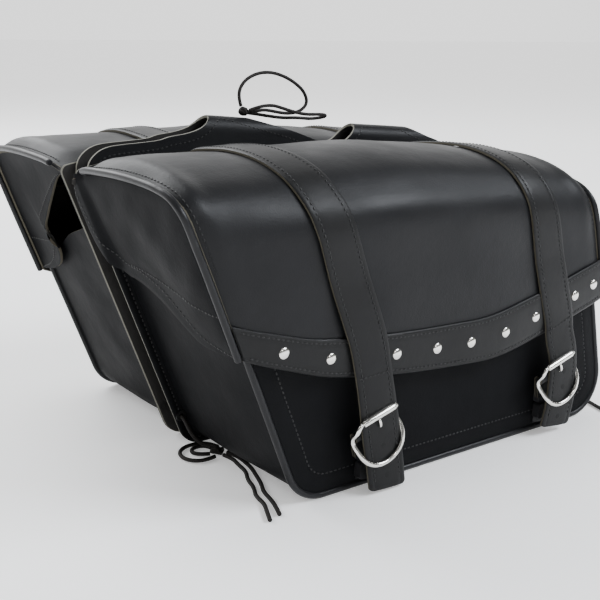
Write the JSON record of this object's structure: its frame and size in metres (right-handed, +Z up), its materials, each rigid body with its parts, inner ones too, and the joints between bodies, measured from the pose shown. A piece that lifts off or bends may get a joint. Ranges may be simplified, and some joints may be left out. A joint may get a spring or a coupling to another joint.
{
  "type": "throw-over saddlebags",
  "caption": "Pair of slant-sided black leather saddlebags joined by a laced yoke, with studded strap-down lids and roller buckles.",
  "frame": {"origin": "middle of the footprint, on the surface the pair stands on", "axes": "+X along the bags towards the front of the machine, +Y from the right bag to the left bag, +Z up"},
  "size_m": [0.5109, 0.4148, 0.3426],
  "materials": {
    "black_leather": "satin grained",
    "strap_leather": "satin grained, olive-brown cut edges",
    "piping_leather": "smooth satin",
    "stiffener_board": "matte",
    "nickel_plate": "polished",
    "black_grommet": "semi-gloss",
    "black_nylon": "moulded satin",
    "black_webbing": "woven",
    "lace_leather": "dull cut thong"
  },
  "bodies": {
    "root": {"yoke_right": "black_leather", "yoke_left": "black_leather", "yoke_knot": "lace_leather", "yoke_lace_loop": "lace_leather", "yoke_lace_bight": "lace_leather"},
    "right_bag": {"right_front_panel": "black_leather", "right_gusset": "black_leather", "right_back_panel": "black_leather", "right_back_board": "stiffener_board", "right_front_piping": "piping_leather", "right_tie_grommets": "black_grommet", "right_tether_straps": "black_webbing", "right_clip_females": "black_nylon", "tie_lead": "lace_leather", "tie_knot": "lace_leather", "tie_loop_outer": "lace_leather", "tie_loop_inner": "lace_leather", "tie_tail_inner": "lace_leather", "tie_tail_outer": "lace_leather", "tie_lace_front": "lace_leather"},
    "right_lid": {"right_lid_cover": "black_leather", "right_lid_end_rear": "black_leather", "right_lid_end_front": "black_leather", "right_lid_piping": "piping_leather", "right_lid_band": "strap_leather", "right_lid_studs": "nickel_plate", "right_lid_strap_rear": "strap_leather", "right_lid_strap_front": "strap_leather", "right_buckle_chapes": "strap_leather", "right_buckle_frames": "nickel_plate", "right_clip_males": "black_nylon"},
    "right_roller_rear": {"right_buckle_roller_rear": "nickel_plate"},
    "right_prong_rear": {"right_buckle_prong_rear": "nickel_plate"},
    "right_roller_front": {"right_buckle_roller_front": "nickel_plate"},
    "right_prong_front": {"right_buckle_prong_front": "nickel_plate"},
    "left_bag": {"left_front_panel": "black_leather", "left_gusset": "black_leather", "left_back_panel": "black_leather", "left_back_board": "stiffener_board", "left_front_piping": "piping_leather", "left_tie_grommets": "black_grommet", "left_tether_straps": "black_webbing", "left_clip_females": "black_nylon"},
    "left_lid": {"left_lid_cover": "black_leather", "left_lid_end_rear": "black_leather", "left_lid_end_front": "black_leather", "left_lid_piping": "piping_leather", "left_lid_band": "strap_leather", "left_lid_studs": "nickel_plate", "left_lid_strap_rear": "strap_leather", "left_lid_strap_front": "strap_leather", "left_buckle_chapes": "strap_leather", "left_buckle_frames": "nickel_plate", "left_clip_males": "black_nylon"},
    "left_roller_rear": {"left_buckle_roller_rear": "nickel_plate"},
    "left_prong_rear": {"left_buckle_prong_rear": "nickel_plate"},
    "left_roller_front": {"left_buckle_roller_front": "nickel_plate"},
    "left_prong_front": {"left_buckle_prong_front": "nickel_plate"}
  },
  "joints": [
    {"name": "right_bag_swing", "type": "hinge", "parent": "root", "child": "right_bag", "pos_m": [-0.03606, -0.0138, 0.27344], "axis": [-0.9958, 0, 0.0916], "range_deg": [0, 6]},
    {"name": "right_lid_hinge", "type": "hinge", "parent": "right_bag", "child": "right_lid", "pos_m": [-0.03615, -0.018, 0.27244], "axis": [-0.9958, 0, 0.0916], "range_deg": [0, 58]},
    {"name": "right_roller_rear_spin", "type": "hinge", "parent": "right_lid", "child": "right_roller_rear", "pos_m": [-0.07708, -0.2044, 0.07244], "axis": [0.9648, 0, 0.2629], "continuous": true},
    {"name": "right_prong_rear_pivot", "type": "hinge", "parent": "right_lid", "child": "right_prong_rear", "pos_m": [-0.07388, -0.195, 0.0588], "axis": [0.9648, 0, 0.2629], "range_deg": [0, 12]},
    {"name": "right_roller_front_spin", "type": "hinge", "parent": "right_lid", "child": "right_roller_front", "pos_m": [0.15218, -0.2044, 0.07771], "axis": [0.9648, 0, 0.2629], "continuous": true},
    {"name": "right_prong_front_pivot", "type": "hinge", "parent": "right_lid", "child": "right_prong_front", "pos_m": [0.15248, -0.195, 0.06328], "axis": [0.9648, 0, 0.2629], "range_deg": [0, 12]},
    {"name": "left_bag_swing", "type": "hinge", "parent": "root", "child": "left_bag", "pos_m": [-0.03606, 0.0138, 0.27344], "axis": [0.9958, 0, -0.0916], "range_deg": [0, 6]},
    {"name": "left_lid_hinge", "type": "hinge", "parent": "left_bag", "child": "left_lid", "pos_m": [-0.03615, 0.018, 0.27244], "axis": [0.9958, 0, -0.0916], "range_deg": [0, 58]},
    {"name": "left_roller_rear_spin", "type": "hinge", "parent": "left_lid", "child": "left_roller_rear", "pos_m": [-0.07708, 0.2044, 0.07244], "axis": [0.9648, 0, 0.2629], "continuous": true},
    {"name": "left_prong_rear_pivot", "type": "hinge", "parent": "left_lid", "child": "left_prong_rear", "pos_m": [-0.07388, 0.195, 0.0588], "axis": [-0.9648, 0, -0.2629], "range_deg": [0, 12]},
    {"name": "left_roller_front_spin", "type": "hinge", "parent": "left_lid", "child": "left_roller_front", "pos_m": [0.15218, 0.2044, 0.07771], "axis": [0.9648, 0, 0.2629], "continuous": true},
    {"name": "left_prong_front_pivot", "type": "hinge", "parent": "left_lid", "child": "left_prong_front", "pos_m": [0.15248, 0.195, 0.06328], "axis": [-0.9648, 0, -0.2629], "range_deg": [0, 12]}
  ]
}
